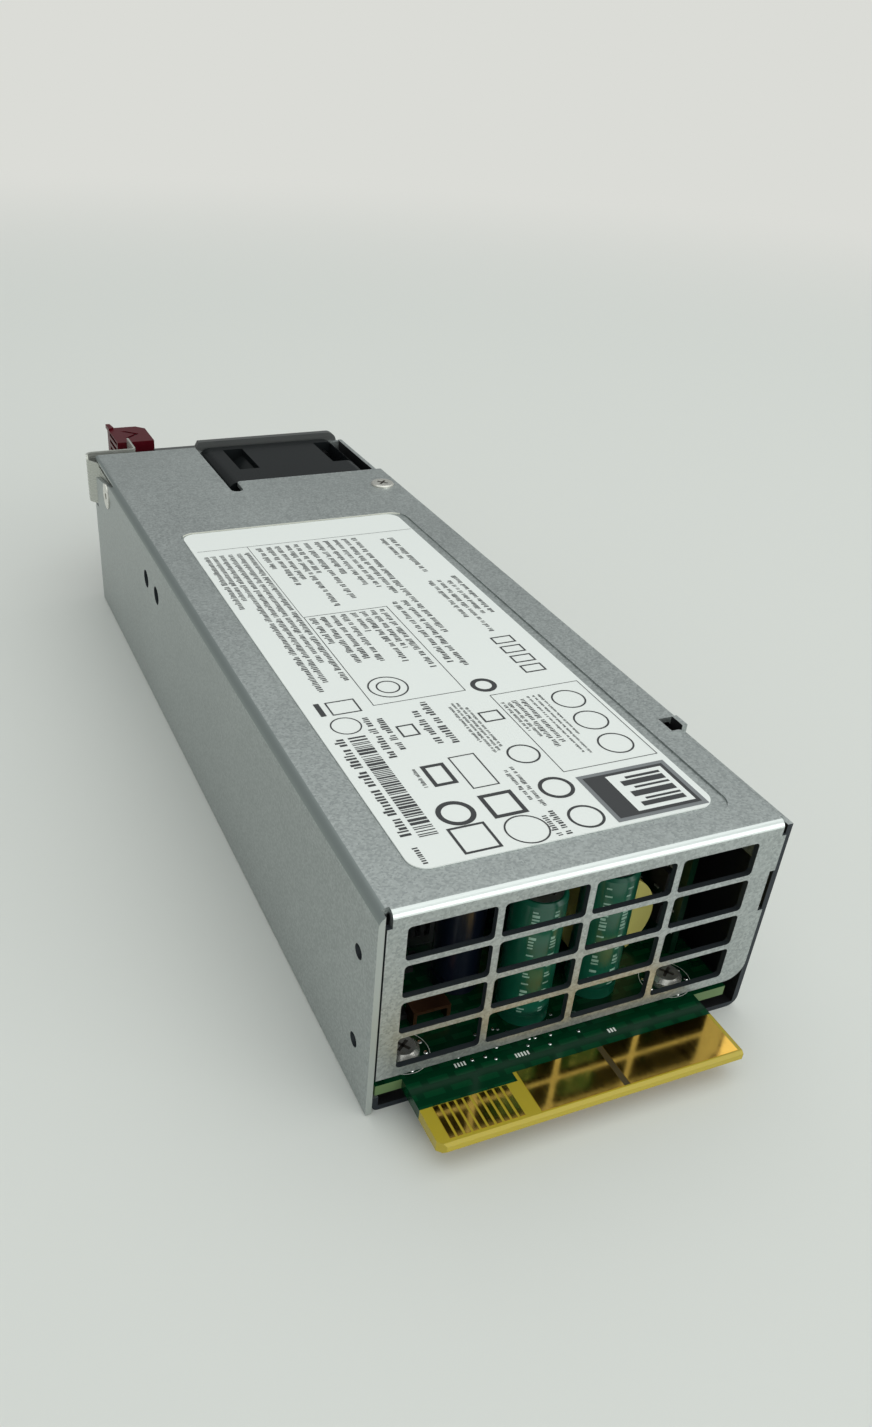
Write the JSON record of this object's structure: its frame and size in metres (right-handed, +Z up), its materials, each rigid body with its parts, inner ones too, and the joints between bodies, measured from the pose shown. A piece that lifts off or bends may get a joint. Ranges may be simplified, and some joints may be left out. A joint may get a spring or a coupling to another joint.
{
  "type": "hot swap server power supply",
  "caption": "Slim sheet metal hot swap server power supply with card edge contacts, grille face, fan, AC inlet, pull handle and sprung release latch.",
  "frame": {"origin": "centre of the case's bottom face", "axes": "+Y the way it slides into its bay, +Z up, +X the side of the release latch"},
  "size_m": [0.0703, 0.2304, 0.0406],
  "materials": {
    "galvanised_steel": "fine spangled zinc, satin",
    "label_film": "satin printed film",
    "board_laminate": "solder mask, semi gloss",
    "gold_plating": "polished gold plate",
    "zinc_steel": "bright zinc",
    "black_film": "thin plastic film, satin",
    "black_plastic": "fine texture",
    "sintered_bronze": "dull",
    "coil_stack": "lacquered",
    "spring_steel": "rolled, bright",
    "black_screw": "black oxide",
    "inlet_plastic": "moulded, satin",
    "plated_brass": "nickel plated",
    "clear_plastic": "clear acrylic",
    "lamp_plastic": "tinted epoxy",
    "burgundy_plastic": "moulded, satin",
    "green_sleeve": "shrink sleeve",
    "blue_sleeve": "shrink sleeve",
    "yellow_core": "lacquered powder core",
    "copper_wire": "enamelled wire",
    "copper_strip": "bright strip",
    "chip_plastic": "moulded",
    "ferrite": "ground ferrite",
    "yellow_tape": "polyester tape",
    "plain_aluminium": "plain extrusion",
    "dark_sleeve": "shrink sleeve",
    "relay_plastic": "moulded",
    "ceramic_disc": "coated ceramic",
    "film_plastic": "moulded case",
    "blue_ceramic": "dipped coating",
    "connector_plastic": "moulded",
    "black_sleeve": "insulating sleeve"
  },
  "bodies": {
    "case": {"top_cover": "galvanised_steel", "bottom_tray": "galvanised_steel", "rating_label": "label_film", "main_board": "board_laminate", "power_contacts": "gold_plating", "signal_contacts": "gold_plating", "board_standoffs": "zinc_steel", "board_screws": "zinc_steel", "floor_insulator": "black_film", "wall_insulator": "black_film", "fan_frame": "black_plastic", "fan_bearing": "sintered_bronze", "fan_stator": "coil_stack", "fan_screws": "black_screw", "rear_bezel": "black_plastic", "pull_handle": "black_plastic", "handle_screws": "zinc_steel", "ac_inlet_housing": "inlet_plastic", "inlet_blades": "plated_brass", "light_pipe": "clear_plastic", "status_led": "lamp_plastic", "latch_rivet": "zinc_steel", "cover_screw": "zinc_steel", "output_capacitors": "green_sleeve", "filter_capacitors": "blue_sleeve", "output_choke_core": "yellow_core", "output_choke_winding": "copper_wire", "current_shunt": "copper_strip", "control_board": "board_laminate", "control_chips": "chip_plastic", "transformer_core": "ferrite", "transformer_winding": "yellow_tape", "secondary_heatsink": "plain_aluminium", "primary_heatsink": "plain_aluminium", "power_transistors": "chip_plastic", "pfc_choke_core": "ferrite", "pfc_choke_winding": "copper_wire", "bulk_capacitor": "dark_sleeve", "inrush_relay": "relay_plastic", "inrush_thermistor": "ceramic_disc", "line_choke_cores": "ferrite", "line_choke_windings": "copper_wire", "line_capacitors": "film_plastic", "disc_capacitors": "blue_ceramic", "line_fuse": "ceramic_disc", "bridge_rectifier": "chip_plastic", "fan_plug": "connector_plastic", "fan_lead": "black_sleeve", "line_leads": "black_sleeve"},
    "fan_rotor": {"fan_impeller": "black_plastic", "fan_shaft": "spring_steel"},
    "latch": {"latch_spring": "spring_steel", "release_tab": "burgundy_plastic"}
  },
  "joints": [
    {"name": "fan_spin", "type": "hinge", "parent": "case", "child": "fan_rotor", "pos_m": [-0.0124, -0.082, 0.0202], "axis": [0, 1, 0], "continuous": true},
    {"name": "latch_flex", "type": "hinge", "parent": "case", "child": "latch", "pos_m": [0.0331, -0.0767, 0.035], "axis": [0, 0, 1], "range_deg": [-4.5, 0], "stiffness_Nm_per_rad": 0.87}
  ]
}
